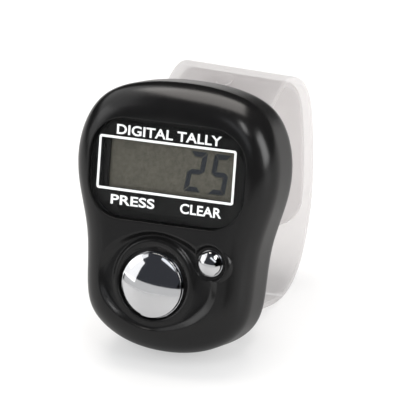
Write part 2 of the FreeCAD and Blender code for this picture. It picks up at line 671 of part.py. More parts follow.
NODES = {
    "front_case": front_case,
    "back_cover": back_cover,
    "battery_door": battery_door,
    "display_lens": display_lens,
    "lens_mask": lens_mask,
    "lcd_polariser": lcd_polariser,
    "lcd_front_glass": lcd_front_glass,
    "lcd_rear_glass": lcd_rear_glass,
    "lcd_reflector": lcd_reflector,
    "lcd_holder": lcd_holder,
    "contact_strip": contact_strip,
    "circuit_board": circuit_board,
    "key_contacts": key_contacts,
    "chip_blob": chip_blob,
    "crystal": crystal,
    "chip_parts": chip_parts,
    "count_button": count_button,
    "count_pill": count_pill,
    "count_dome": count_dome,
    "reset_button": reset_button,
    "reset_pill": reset_pill,
    "reset_dome": reset_dome,
    "coin_cell": coin_cell,
    "battery_contact_negative": battery_contact_negative,
    "battery_contact_positive": battery_contact_positive,
    "case_screws": lambda: Part.makeCompound([case_screw(axis) for axis in CASE_SCREWS]),
    "board_screws": lambda: Part.makeCompound([board_screw(axis) for axis in BOARD_SCREWS]),
    "strap_outer": strap_outer,
    "strap_tongue": strap_tongue,
    "strap_peg": strap_peg,
    "strap_pins": strap_pins,
}

os.makedirs("parts", exist_ok=True)
for node, solid in placed({name: make() for name, make in NODES.items()}).items():
    solid.exportStep("parts/" + node + ".step")
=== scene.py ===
import json
import math

import bmesh
import bpy
import numpy as np
from mathutils import Matrix, Vector

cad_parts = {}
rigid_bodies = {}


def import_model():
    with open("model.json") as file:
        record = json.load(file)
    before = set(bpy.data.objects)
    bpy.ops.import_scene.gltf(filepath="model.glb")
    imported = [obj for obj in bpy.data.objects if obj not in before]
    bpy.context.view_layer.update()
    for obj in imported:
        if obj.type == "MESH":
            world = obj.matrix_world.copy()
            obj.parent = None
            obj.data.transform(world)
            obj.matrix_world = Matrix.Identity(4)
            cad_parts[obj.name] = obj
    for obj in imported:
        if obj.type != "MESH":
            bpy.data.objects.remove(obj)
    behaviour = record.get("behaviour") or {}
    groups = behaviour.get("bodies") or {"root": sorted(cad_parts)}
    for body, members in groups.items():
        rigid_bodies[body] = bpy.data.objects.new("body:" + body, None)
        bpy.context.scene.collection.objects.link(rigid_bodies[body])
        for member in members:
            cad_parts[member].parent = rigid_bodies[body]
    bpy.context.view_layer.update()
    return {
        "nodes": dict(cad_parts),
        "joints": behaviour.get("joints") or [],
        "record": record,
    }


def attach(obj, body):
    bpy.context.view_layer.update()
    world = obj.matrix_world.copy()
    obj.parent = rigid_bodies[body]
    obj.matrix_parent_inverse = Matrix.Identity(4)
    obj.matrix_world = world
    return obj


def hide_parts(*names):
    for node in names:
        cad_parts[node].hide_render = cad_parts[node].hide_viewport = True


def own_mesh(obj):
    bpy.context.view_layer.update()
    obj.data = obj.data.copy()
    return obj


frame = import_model()
NODES = frame["nodes"]

# ---------------------------------------------------------------- the case's own frame
# Millimetres: X right, Y into the case from its face, Z up the face, zero at the middle of the display.
PRESS = next(j["axis"] for j in frame["joints"] if j["name"] == "count_press")
LEAN = math.atan2(-PRESS[2], PRESS[1])
LOOP = next(m["pos_m"] for m in frame["record"]["mounts"] if m["name"] == "finger_loop")
LOOP_IN_CASE = Vector((0, 22.5, -5.0))
MM = 0.001
TURN = Matrix.Rotation(-LEAN, 4, "X") @ Matrix.Scale(MM, 4)
PLACE = Matrix.Translation(Vector(LOOP) - TURN @ LOOP_IN_CASE) @ TURN

CASE_OUTLINE = [(0, 11.92), (6.6, 11.35), (12.2, 8.95), (15.15, 3.55), (15.2, -3.2), (13.42, -10.2),
                (12.85, -16.4), (11.75, -21.75), (7.4, -25.4), (0, -26.85)]
CASE_DEPTH = 11.7
CASE_MIDDLE_Z = -7.0
FACE_ROUNDING = 4.8
REAR_ROUNDING = 3.2
WALL = 2.0
WALL_REAR = 9.8
INNER_ROUNDING = 0.6
FACE_THICKNESS = 2.3
LENS_HALF_WIDTH = 12.0
LENS_HALF_HEIGHT = 7.1
LENS_Z = -0.75
LENS_CORNER = 5.2
LENS_FRONT = 0.45
LENS_BACK = 1.3
LENS_LEDGE = 1.4
LENS_GAP = 0.12
LENS_EDGE = 0.22
WINDOW = (-9.5, 10.6, 4.0)
LCD_FRONT = 1.9
LCD_HALF_WIDTH = 11.0
LCD_LEDGE_BOTTOM = -5.7
LCD_TOP = 4.7
LCD_GAP = 0.1
PRINT_X = -0.2
PRINT_Z = -0.15
PRINT_FRONT = LENS_FRONT + 0.012
PRINT_BACK = LENS_FRONT + 0.03
PRINT_THICKNESS = 0.015
COUNT_AXIS = (-1.36, -16.96)
RESET_AXIS = (7.37, -12.73)
FLANGE_FRONT = 2.32
FLANGE_BACK = 3.02
BOARD_FRONT = 6.2
DISH_DEPTH = 0.95
DISH_CENTRE = (-0.3, -16.2)
DISH_HALF_WIDTH = 9.7
DISH_HALF_HEIGHT = 7.05
DISH_TOP = -9.6
DISH_TILT = 2.0
DISH_LEAST_RADIUS = 7.2
DISH_SHOULDER = 1.7
DISH_BLEND = 0.3
DISH_FULL_ROOM = 1.1
LIP_SLOPE = 0.75
LIP_CROWN = 0.02
CUT_START = 0.6
CELL_AXIS = (0, -5.5)
CELL_RADIUS = 5.8
CELL_THICKNESS = 3.05
CELL_BACK = 11.25
LIP_CENTRE = (-0.94, -16.34)
LIP_CREST_DEPTH = 0.42
LIP_INNER_RADIUS = 5.62
LIP_OUTER_RADIUS = 5.87
FUNNEL_RADIUS = 4.85
FUNNEL_DEPTH = 1.2
STRAP_PATH = [(13.4, 6.7), (16.7, 9.1), (20.5, 11.75), (24.6, 12.2), (30.0, 9.9), (33.3, 3.2),
              (34.7, -5.5), (33.5, -12.9), (29.9, -18.5), (25.1, -20.9), (20.3, -21.4), (14.0, -21.4)]
STRAP_HALF_WIDTH = 8.7
STRAP_THICKNESS = 0.9
STRAP_TWIST = 0.66
STRAP_TOP = 12.2
UPPER_PIN = (14.2, 5.4)
LOWER_PIN = (14.0, -19.9)
KNUCKLE_RADIUS = 1.5
KNUCKLE_BORE = 0.74
TONGUE_INSET = 1.1
TONGUE_GAP = 0.02
TONGUE_START = 16.3
TONGUE_END = -11.5
TONGUE_CORNER = 4.6


# ---------------------------------------------------------------- curves
def spline(points, closed, count):
    """Evenly sampled smooth curve through the points, with its unit tangents, as two arrays."""
    p = np.array(points, float)
    if closed:
        p = np.vstack([p, p[:1]])
    step = np.linalg.norm(np.diff(p, axis=0), axis=1)
    knots = np.concatenate([[0], np.cumsum(step)])
    n = len(p) - 1
    size = n if closed else n + 1
    a = np.zeros((size, size))
    b = np.zeros((size, p.shape[1]))
    for i in range(size):
        if not closed and i in (0, n):
            other = 1 if i == 0 else n - 1
            span = step[0] if i == 0 else step[-1]
            a[i, i] = 2
            a[i, other] = 1
            b[i] = 3 * (p[1] - p[0]) / span if i == 0 else 3 * (p[n] - p[n - 1]) / span
            continue
        before, after = step[i - 1], step[i % n]
        a[i, (i - 1) % size] += after
        a[i, i] += 2 * (before + after)
        a[i, (i + 1) % size] += before
        prev_slope = (p[i] - p[i - 1]) / before if i else (p[n] - p[n - 1]) / before
        next_slope = (p[i + 1] - p[i]) / after
        b[i] = 3 * (after * prev_slope + before * next_slope)
    slope = np.linalg.solve(a, b)
    if closed:
        slope = np.vstack([slope, slope[:1]])

    def value(u):
        i = np.clip(np.searchsorted(knots, u, side="right") - 1, 0, n - 1)
        h = step[i][:, None]
        t = ((u - knots[i]) / step[i])[:, None]
        point = ((1 + 2 * t) * (1 - t) ** 2 * p[i] + t * (1 - t) ** 2 * h * slope[i]
                 + t ** 2 * (3 - 2 * t) * p[i + 1] + t ** 2 * (t - 1) * h * slope[i + 1])
        tangent = (6 * t * (t - 1) * (p[i] - p[i + 1]) / h + (1 - 4 * t + 3 * t ** 2) * slope[i]
                   + (3 * t ** 2 - 2 * t) * slope[i + 1])
        return point, tangent / np.linalg.norm(tangent, axis=1)[:, None]

    fine = np.linspace(0, knots[-1], 4000)
    dense = value(fine)[0]
    length = np.concatenate([[0], np.cumsum(np.linalg.norm(np.diff(dense, axis=0), axis=1))])
    wanted = np.linspace(0, length[-1], count + 1)[:count] if closed else np.linspace(0, length[-1], count)
    return value(np.interp(wanted, length, fine))


OUTLINE_COUNT = 480
_right = list(CASE_OUTLINE)
_left = [(-x, z) for x, z in reversed(CASE_OUTLINE[1:-1])]
OUTLINE, OUTLINE_TANGENT = spline(_right + _left, True, OUTLINE_COUNT)
OUTLINE_INWARD = np.stack([OUTLINE_TANGENT[:, 1], -OUTLINE_TANGENT[:, 0]], 1)


def outline_ring(inset, y):
    """The case's outline moved inwards, at one depth."""
    p = OUTLINE + OUTLINE_INWARD * inset
    return np.stack([p[:, 0], np.full(len(p), y), p[:, 1]], 1)


def rounded_rect(half_width, half_height, corner, cx, cz, steps=16):
    """A rounded rectangle as a closed loop of (x, z), anticlockwise."""
    loop = []
    for k, (sx, sz) in enumerate([(1, 1), (-1, 1), (-1, -1), (1, -1)]):
        ox = cx + sx * (half_width - corner)
        oz = cz + sz * (half_height - corner)
        for i in range(steps + 1):
            angle = math.pi / 2 * (k + i / steps)
            loop.append((ox + corner * math.cos(angle), oz + corner * math.sin(angle)))
    return np.array(loop)


def ring_at(loop, y):
    """A loop of (x, z) set at one depth."""
    return np.stack([loop[:, 0], np.full(len(loop), y), loop[:, 1]], 1)


def arc(centre, radius, start, end, steps):
    """Points on an arc in a plane, angles in degrees."""
    angles = np.radians(np.linspace(start, end, steps + 1))
    return [(centre[0] + radius * math.cos(a), centre[1] + radius * math.sin(a)) for a in angles]


# ---------------------------------------------------------------- meshes
LEAST_RADIUS = 1e-4


def make_object(name, points, faces, material, smooth=True):
    """A mesh object from points in the case's frame, in millimetres."""
    world = [PLACE @ Vector(p) for p in points]
    data = bpy.data.meshes.new(name)
    data.from_pydata(world, [], faces)
    data.validate()
    bm = bmesh.new()
    bm.from_mesh(data)
    bmesh.ops.recalc_face_normals(bm, faces=bm.faces)
    bm.to_mesh(data)
    bm.free()
    data.shade_smooth() if smooth else data.shade_flat()
    obj = bpy.data.objects.new(name, data)
    bpy.context.scene.collection.objects.link(obj)
    data.materials.append(material)
    return obj


def tube(rings, caps=True):
    """Points and faces of a skin over closed rings; all rings have the same number of points."""
    count = len(rings[0])
    points = [tuple(p) for ring in rings for p in ring]
    faces = []
    for r in range(len(rings) - 1):
        a, b = r * count, (r + 1) * count
        for i in range(count):
            j = (i + 1) % count
            faces.append((a + i, a + j, b + j, b + i))
    if caps:
        faces.append(tuple(range(count)))
        faces.append(tuple(range((len(rings) - 1) * count, len(rings) * count)))
    return points, faces


def lathe(axis, profile, count):
    """Rings of a turned shape from (radius, y) points; a zero radius closes the end."""
    angles = np.linspace(0, 2 * math.pi, count, endpoint=False)
    rings = []
    for radius, y in profile:
        radius = max(radius, LEAST_RADIUS)
        rings.append(np.stack([axis[0] + radius * np.cos(angles), np.full(count, y),
                               axis[1] + radius * np.sin(angles)], 1))
    return rings


def sharpen(obj, degrees):
    """Keeps edges that turn by more than this sharp."""
    obj.data.set_sharp_from_angle(angle=math.radians(degrees))


def carve(obj, cutters, added=()):
    """Adds and then subtracts closed meshes, and removes them."""
    cutters = list(added) + list(cutters)
    for cutter in cutters:
        mod = obj.modifiers.new("cut", "BOOLEAN")
        mod.operation = "UNION" if cutter in added else "DIFFERENCE"
        mod.solver = "EXACT"
        mod.object = cutter
    graph = bpy.context.evaluated_depsgraph_get()
    data = bpy.data.meshes.new_from_object(obj.evaluated_get(graph))
    obj.modifiers.clear()
    obj.data = data
    for cutter in cutters:
        bpy.data.objects.remove(cutter)


def piece(obj, body, slot, *replaced):
    """Attaches a finished object to its body and hides the CAD nodes it stands for; the slot argument is not
    used.
    """
    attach(obj, body)
    if replaced:
        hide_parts(*replaced)
    return obj


# ---------------------------------------------------------------- materials
class Nodes:
    """Small helper round one material's node tree; sizes of patterns are per millimetre."""

    def __init__(self, name):
        self.material = bpy.data.materials.new(name)
        self.material.use_nodes = True
        self.tree = self.material.node_tree
        self.shader = self.tree.nodes["Principled BSDF"]
        self.output = self.tree.nodes["Material Output"]

    def fill(self, node, inputs):
        """Sets or links a node's inputs by name, with underscores for spaces."""
        for key, value in inputs.items():
            socket = node.inputs[key.replace("_", " ")]
            if isinstance(value, bpy.types.NodeSocket):
                self.tree.links.new(value, socket)
            else:
                socket.default_value = value
        return node

    def add(self, kind, **inputs):
        return self.fill(self.tree.nodes.new(kind), inputs)

    def put(self, **inputs):
        self.fill(self.shader, inputs)

    def combine(self, operation, first, second, clamp=False):
        node = self.tree.nodes.new("ShaderNodeMath")
        node.operation = operation
        node.use_clamp = clamp
        self.tree.links.new(first, node.inputs[0])
        self.tree.links.new(second, node.inputs[1])
        return node.outputs["Value"]

    def mix(self, fac, first, second):
        """A mix of two shaders' first outputs."""
        node = self.add("ShaderNodeMixShader", Fac=fac)
        self.tree.links.new(first.outputs[0], node.inputs[1])
        self.tree.links.new(second.outputs[0], node.inputs[2])
        return node

    def show(self, shader):
        """Puts this shader on the surface instead of the Principled one."""
        self.tree.links.new(shader.outputs[0], self.output.inputs["Surface"])

    def place(self):
        """Object coordinates in millimetres."""
        coords = self.tree.nodes.new("ShaderNodeTexCoord")
        scale = self.tree.nodes.new("ShaderNodeVectorMath")
        scale.operation = "SCALE"
        scale.inputs["Scale"].default_value = 1 / MM
        self.tree.links.new(coords.outputs["Object"], scale.inputs[0])
        return scale.outputs["Vector"]

    def noise(self, where, scale, detail=3.0, roughness=0.5):
        node = self.add("ShaderNodeTexNoise", Vector=where, Scale=scale, Detail=detail, Roughness=roughness)
        return node.outputs["Fac"]

    def ramp(self, fac, low, high):
        """Maps 0..1 to low..high."""
        return self.spread(fac, 0.0, 1.0, low, high)

    def spread(self, fac, start, end, low, high):
        """Maps start..end to low..high, held at both ends."""
        node = self.add("ShaderNodeMapRange", Value=fac, From_Min=start, From_Max=end, To_Min=low,
                        To_Max=high)
        return node.outputs["Result"]

    def tint(self, fac, first, second):
        """A colour between two colours."""
        node = self.tree.nodes.new("ShaderNodeMix")
        node.data_type = "RGBA"
        self.tree.links.new(fac, node.inputs["Factor"])
        node.inputs["A"].default_value = (*first, 1)
        node.inputs["B"].default_value = (*second, 1)
        return node.outputs["Result"]

    def bump(self, height, strength, distance, normal=None):
        node = self.add("ShaderNodeBump", Height=height, Strength=strength, Distance=distance)
        if normal:
            self.tree.links.new(normal, node.inputs["Normal"])
        return node.outputs["Normal"]

    def rounded_edges(self, radius):
        """Softens the shading of hard edges, like a moulded radius."""
        node = self.tree.nodes.new("ShaderNodeBevel")
        node.samples = 6
        node.inputs["Radius"].default_value = radius * MM
        return node.outputs["Normal"]


def scratches(n, where, scale):
    """Sparse fine straight marks, 0 to 1."""
    stretched = n.add("ShaderNodeMapping", Vector=where, Rotation=(0.3, 0.2, 0.6), Scale=(0.15, 1.0, 4.0))
    fine = n.noise(stretched.outputs["Vector"], scale, 4.0, 0.6)
    return n.spread(fine, 0.62, 0.72, 0.0, 1.0)


def black_plastic():
    n = Nodes("black_gloss_plastic")
    where = n.place()
    cloud = n.noise(where, 0.35, 4.0)
    peel = n.noise(where, 2.2, 2.0)
    marks = scratches(n, where, 1.1)
    n.put(Base_Color=n.tint(cloud, (0.0045, 0.0045, 0.0047), (0.007, 0.0069, 0.0069)), IOR=1.4)
    n.put(Roughness=n.combine("ADD", n.ramp(cloud, 0.17, 0.25), n.ramp(marks, 0.0, 0.05)))
    n.put(Normal=n.bump(peel, 0.12, 0.02 * MM, n.rounded_edges(0.32)))
    return n.material


def satin_plastic(name, dark, light, rough_low=0.4, rough_high=0.55, edge=0.12):
    n = Nodes(name)
    where = n.place()
    cloud = n.noise(where, 0.6, 4.0)
    grain = n.noise(where, 9.0, 2.0)
    n.put(Base_Color=n.tint(cloud, dark, light), Roughness=n.ramp(cloud, rough_low, rough_high))
    n.put(Normal=n.bump(grain, 0.25, 0.01 * MM, n.rounded_edges(edge)))
    return n.material


def print_ink(name, colour):
    """A thin screen-printed layer with slightly uneven cover."""
    n = Nodes(name)
    cover = n.noise(n.place(), 7.0, 4.0, 0.65)
    dark = tuple(c * 0.86 for c in colour)
    n.put(Base_Color=n.tint(cover, dark, colour), Roughness=n.ramp(cover, 0.35, 0.5))
    return n.material


def chrome():
    n = Nodes("bright_chrome")
    where = n.place()
    haze = n.noise(where, 0.8, 5.0, 0.6)
    marks = scratches(n, where, 2.4)
    n.put(Base_Color=n.tint(haze, (0.76, 0.765, 0.78), (0.82, 0.825, 0.84)), Metallic=1.0)
    n.put(Roughness=n.combine("ADD", n.ramp(haze, 0.035, 0.085), n.ramp(marks, 0.0, 0.05)))
    n.put(Normal=n.bump(n.noise(where, 1.3, 2.0), 0.05, 0.02 * MM))
    return n.material


def steel(name, tone, rough_low, rough_high):
    n = Nodes(name)
    where = n.place()
    haze = n.noise(where, 0.5, 3.0)
    light = tuple(min(1.0, c * 1.08) for c in tone)
    n.put(Base_Color=n.tint(haze, tone, light), Metallic=1.0, Roughness=n.ramp(haze, rough_low, rough_high))
    n.put(Normal=n.bump(n.noise(where, 0.9, 2.0), 0.04, 0.01 * MM, n.rounded_edges(0.06)))
    return n.material


def clear_lens():
    """Thin clear plastic: what is behind shows straight through, with a polished outer reflection."""
    n = Nodes("clear_lens_plastic")
    where = n.place()
    n.tree.nodes.remove(n.shader)
    clear = n.add("ShaderNodeBsdfTransparent", Color=(0.97, 0.975, 0.97, 1))
    haze = n.noise(where, 0.5, 4.0)
    waves = n.bump(n.noise(where, 0.9, 2.0), 0.05, 0.02 * MM, n.rounded_edges(0.15))
    gloss = n.add("ShaderNodeBsdfAnisotropic", Roughness=n.ramp(haze, 0.03, 0.09), Normal=waves)
    fresnel = n.add("ShaderNodeFresnel", IOR=1.22)
    inside = n.add("ShaderNodeNewGeometry")
    shine = n.combine("SUBTRACT", fresnel.outputs["Fac"], inside.outputs["Backfacing"], clamp=True)
    n.show(n.mix(shine, clear, gloss))
    return n.material


def lcd_film():
    """Olive grey reflective display with a fine satin grain."""
    n = Nodes("lcd_grey_film")
    where = n.place()
    cloud = n.noise(where, 2.0, 3.0, 0.7)
    grain = n.noise(where, 4.0, 2.0)
    n.put(Base_Color=n.tint(cloud, (0.034, 0.0315, 0.0255), (0.138, 0.129, 0.106)))
    n.put(Roughness=n.ramp(grain, 0.6, 0.75), Normal=n.bump(grain, 0.1, 0.003 * MM), Specular_IOR_Level=0.25)
    return n.material


def lcd_segment(name, colour, alpha):
    n = Nodes(name)
    cloud = n.noise(n.place(), 4.0, 3.0)
    dark = tuple(c * 0.8 for c in colour)
    n.put(Base_Color=n.tint(cloud, dark, colour), Roughness=0.4, Alpha=alpha)
    return n.material


def glass(name, tint):
    n = Nodes(name)
    haze = n.noise(n.place(), 0.7, 3.0)
    n.put(Base_Color=n.tint(haze, tint, tuple(min(1, c * 1.05) for c in tint)))
    n.put(Roughness=n.ramp(haze, 0.02, 0.06), Alpha=0.35)
    return n.material


def milky_strap():
    """Soft milky plastic that lets light through."""
    n = Nodes("milky_soft_plastic")
    where = n.place()
    cloud = n.noise(where, 0.22, 4.0)
    grain = n.noise(where, 5.0, 3.0)
    n.put(Base_Color=n.tint(cloud, (0.66, 0.64, 0.635), (0.70, 0.68, 0.675)))
    n.put(Roughness=n.ramp(cloud, 0.28, 0.42))
    n.put(Normal=n.bump(grain, 0.12, 0.01 * MM, n.rounded_edges(0.12)))
    through = n.add("ShaderNodeBsdfTranslucent", Color=(0.85, 0.83, 0.83, 1))
    clear = n.add("ShaderNodeBsdfTransparent")
    n.show(n.mix(0.5, n.mix(0.6, n.shader, through), clear))
    return n.material


def board_mask():
    """Green solder mask with paler tracks under it."""
    n = Nodes("green_solder_mask")
    where = n.place()
    cloud = n.noise(where, 1.2, 4.0)
    tracks = n.add("ShaderNodeTexBrick", Vector=where, Scale=1.1, Color1=(0.012, 0.105, 0.035, 1),
                   Color2=(0.018, 0.13, 0.045, 1), Mortar=(0.04, 0.21, 0.08, 1), Mortar_Size=0.05)
    n.put(Base_Color=tracks.outputs["Color"], Roughness=n.ramp(cloud, 0.25, 0.4))
    n.put(Normal=n.bump(tracks.outputs["Fac"], 0.3, 0.02 * MM))
    return n.material


def striped_rubber():
    """Alternate conducting and insulating layers."""
    n = Nodes("striped_silicone")
    wave = n.add("ShaderNodeTexWave", Vector=n.place(), Scale=3.0)
    n.put(Base_Color=n.tint(wave.outputs["Fac"], (0.02, 0.02, 0.02), (0.45, 0.2, 0.2)), Roughness=0.55)
    return n.material


MAT = {
    "case": black_plastic(),
    "lens": clear_lens(),
    "print": print_ink("black_back_print", (0.002, 0.002, 0.0022)),
    "ink": print_ink("white_print", (0.94, 0.95, 0.96)),
    "polariser": lcd_film(),
    "segment": lcd_segment("lcd_segment_dark", (0.018, 0.022, 0.03), 0.9),
    # painted shadow: a faint, see-through dark sheet that stands in for the digits' shadow on the reflector
    "segment_shadow": lcd_segment("lcd_segment_shadow", (0.05, 0.055, 0.055), 0.22),
    "glass": glass("display_glass", (0.7, 0.75, 0.72)),
    "reflector": steel("satin_reflector", (0.42, 0.43, 0.36), 0.4, 0.55),
    "holder": satin_plastic("dark_holder_plastic", (0.03, 0.03, 0.032), (0.045, 0.045, 0.048)),
    "strip": striped_rubber(),
    "board": board_mask(),
    "carbon": satin_plastic("carbon_rubber", (0.012, 0.012, 0.012), (0.022, 0.022, 0.022), 0.55, 0.7),
    "resin": satin_plastic("black_resin", (0.008, 0.008, 0.008), (0.014, 0.014, 0.014), 0.15, 0.25),
    "ceramic": satin_plastic("tan_ceramic", (0.35, 0.25, 0.16), (0.45, 0.33, 0.22), 0.35, 0.5, 0.05),
    "dome": satin_plastic("pale_silicone", (0.6, 0.6, 0.57), (0.7, 0.7, 0.67), 0.45, 0.6),
    "chrome": chrome(),
    "cell": steel("cell_steel", (0.62, 0.62, 0.63), 0.2, 0.34),
    "spring": steel("nickel_spring_strip", (0.66, 0.65, 0.60), 0.22, 0.32),
    "screw": steel("zinc_screw", (0.55, 0.56, 0.58), 0.3, 0.42),
    "strap": milky_strap(),
}


# ---------------------------------------------------------------- front case
def case_blank():
    """The smooth case as a closed thick shell: outer skin, rear rim and inner skin."""
    middle = np.array([0, 0, CASE_MIDDLE_Z])
    rim = math.degrees(math.acos((REAR_ROUNDING - WALL) / REAR_ROUNDING))
    flat = WALL + INNER_ROUNDING
    inner = arc((flat, FACE_THICKNESS + INNER_ROUNDING), INNER_ROUNDING, 270, 180, 5) + [(WALL, WALL_REAR)]
    outer = arc((REAR_ROUNDING, CASE_DEPTH - REAR_ROUNDING), REAR_ROUNDING, 180 - rim, 180, 14)
    outer += [(0, y) for y in np.linspace(CASE_DEPTH - REAR_ROUNDING, FACE_ROUNDING, 6)[1:-1]]
    outer += arc((FACE_ROUNDING, FACE_ROUNDING), FACE_ROUNDING, 180, 270, 26)
    rings = [outline_ring(flat, FACE_THICKNESS) * (share, 1, share) + middle * (1 - share)
             for share in (0.0, 0.25, 0.5, 0.8)]
    rings += [outline_ring(inset, y) for inset, y in inner + outer]
    face = outline_ring(FACE_ROUNDING, 0)
    rings += [middle + (face - middle) * share for share in np.linspace(1, 0.01, 24)[1:]]
    rings[0] = rings[0] + (rings[1] - rings[0]) * 0.02
    points, faces = tube(rings)
    return make_object("front_case_shell", points, faces, MAT["case"])


def prism(name, loop, front, back):
    """A straight-sided block through the case's face, from one depth to another."""
    points, faces = tube([ring_at(loop, front), ring_at(loop, back)])
    return make_object(name, points, faces, MAT["case"])


def soft(share):
    """A smooth step from 0 to 1."""
    return share * share * (3 - 2 * share)


def dish_edge(dx, dz):
    """How far the dish's oval edge is from the lip's centre, along unit directions; never too close."""
    ox = (LIP_CENTRE[0] - DISH_CENTRE[0]) / DISH_HALF_WIDTH
    oz = (LIP_CENTRE[1] - DISH_CENTRE[1]) / DISH_HALF_HEIGHT
    ex, ez = dx / DISH_HALF_WIDTH, dz / DISH_HALF_HEIGHT
    a, b, c = ex ** 2 + ez ** 2, ox * ex + oz * ez, ox ** 2 + oz ** 2 - 1
    over = (-b + np.sqrt(b * b - a * c)) / a - DISH_LEAST_RADIUS
    return DISH_LEAST_RADIUS + 0.5 * (over + np.sqrt(over ** 2 + DISH_BLEND ** 2))


def dish_cutter():
    """The finger dish with soft shoulders, the rounded lip round the button and the funnel inside it."""
    count = 240
    t = np.linspace(0, 2 * math.pi, count, endpoint=False)
    dx, dz = np.cos(t), np.sin(t)
    edge = dish_edge(dx, dz)
    room = edge - LIP_OUTER_RADIUS
    wall = np.minimum(DISH_SHOULDER, 0.5 * room)
    slope = np.minimum(LIP_SLOPE, 0.45 * room)
    floor_z = LIP_CENTRE[1] + (edge - wall) * dz
    depth = DISH_DEPTH - math.tan(math.radians(DISH_TILT)) * (DISH_TOP - floor_z)
    depth = LIP_CREST_DEPTH + (depth - LIP_CREST_DEPTH) * np.clip(room / DISH_FULL_ROOM, 0, 1)

    # radius, depth and how far the centre has moved from the lip's to the button's
    steps = [(edge * 1.02, np.full(count, -CUT_START), 0)]
    for share in np.linspace(0, 1, 10):
        steps.append((edge - wall * share, depth * (0.35 * share + 0.65 * soft(share)), 0))
    for share in np.linspace(0, 1, 8):
        radius = LIP_OUTER_RADIUS + slope * (1 - share)
        steps.append((radius, depth + (LIP_CREST_DEPTH - depth) * soft(share), 0))
    steps.append(((LIP_OUTER_RADIUS + LIP_INNER_RADIUS) / 2, LIP_CREST_DEPTH - LIP_CROWN, 0))
    for share in np.linspace(0, 1, 8):
        radius = LIP_INNER_RADIUS + (FUNNEL_RADIUS - LIP_INNER_RADIUS) * share
        steps.append((radius, LIP_CREST_DEPTH + (FUNNEL_DEPTH - LIP_CREST_DEPTH) * soft(share), share))
    rings = []
    for radius, y, share in steps:
        x = LIP_CENTRE[0] + (COUNT_AXIS[0] - LIP_CENTRE[0]) * share + radius * dx
        z = LIP_CENTRE[1] + (COUNT_AXIS[1] - LIP_CENTRE[1]) * share + radius * dz
        rings.append(np.stack([x, y * np.ones(count), z], 1))
    points, faces = tube(rings)
    return make_object("dish_cutter", points, faces, MAT["case"])


def reset_collar():
    """The rounded collar round the reset button, seen where the face falls away."""
    profile = [(2.3, 1.9), (2.3, 0.2), (2.75, 0.1), (2.95, 0.13), (3.15, 0.24), (3.35, 0.45), (3.55, 0.8),
               (3.55, 1.9)]
    points, faces = tube(lathe(RESET_AXIS, profile, 96))
    return make_object("reset_collar", points, faces, MAT["case"])


def front_case():
    """The moulded shell with its recesses and button holes."""
    shell = case_blank()
    left, right, half = WINDOW
    window = rounded_rect((right - left) / 2, half, 0.25, (left + right) / 2, 0, 4)
    lcd_bay = rounded_rect(LCD_HALF_WIDTH + LCD_GAP, (LCD_TOP - LCD_LEDGE_BOTTOM) / 2 + LCD_GAP, 0.2, 0,
                           (LCD_TOP + LCD_LEDGE_BOTTOM) / 2, 4)
    lens = rounded_rect(LENS_HALF_WIDTH + LENS_GAP, LENS_HALF_HEIGHT + LENS_GAP, LENS_CORNER + LENS_GAP,
                        0, LENS_Z, 24)
    cutters = [dish_cutter(), prism("lens_cutter", lens, -1, LENS_LEDGE),
               prism("window_cutter", window, 1, FACE_THICKNESS + 0.5),
               prism("lcd_cutter", lcd_bay, LCD_FRONT, FACE_THICKNESS + 0.4)]
    reset_hole = [(3.3, -CUT_START), (2.95, -0.02), (2.75, 0.12), (2.58, 0.34), (2.42, 0.66), (2.3, 0.95),
                  (1.96, 0.95), (1.96, 3.0)]
    count_hole = [(4.83, 0.3), (4.83, 3.0)]
    for axis, profile in ((RESET_AXIS, reset_hole), (COUNT_AXIS, count_hole)):
        points, faces = tube(lathe(axis, profile, 96))
        cutters.append(make_object("round_cutter", points, faces, MAT["case"]))
    carve(shell, cutters, [reset_collar()])
    shell.data.shade_smooth()
    sharpen(shell, 14)
    return piece(shell, "case", "case", "front_case")


# ---------------------------------------------------------------- display
def display_lens():
    """The clear lens, with a rounded front edge."""
    edge = arc((LENS_EDGE, LENS_FRONT + LENS_EDGE), LENS_EDGE, 180, 270, 6)
    rings = []
    for inset, y in [(0, LENS_BACK)] + edge + [(0.5, LENS_FRONT)]:
        loop = rounded_rect(LENS_HALF_WIDTH - inset, LENS_HALF_HEIGHT - inset, LENS_CORNER - inset,
                            0, LENS_Z, 24)
        rings.append(ring_at(loop, y))
    points, faces = tube(rings)
    lens = make_object("display_lens_clear", points, faces, MAT["lens"])
    sharpen(lens, 30)
    return piece(lens, "case", "lens", "display_lens")


def frame_line():
    """The white border printed round the window."""
    outer = rounded_rect(10.64, 3.87, 0.4, PRINT_X, PRINT_Z, 6)
    inner = rounded_rect(10.29, 3.52, 0.15, PRINT_X, PRINT_Z, 6)
    rings = [ring_at(outer, PRINT_FRONT), ring_at(outer, PRINT_BACK), ring_at(inner, PRINT_BACK),
             ring_at(inner, PRINT_FRONT), ring_at(outer, PRINT_FRONT)]
    points, faces = tube(rings, caps=False)
    return piece(make_object("window_border_print", points, faces, MAT["ink"], False), "case", "print")


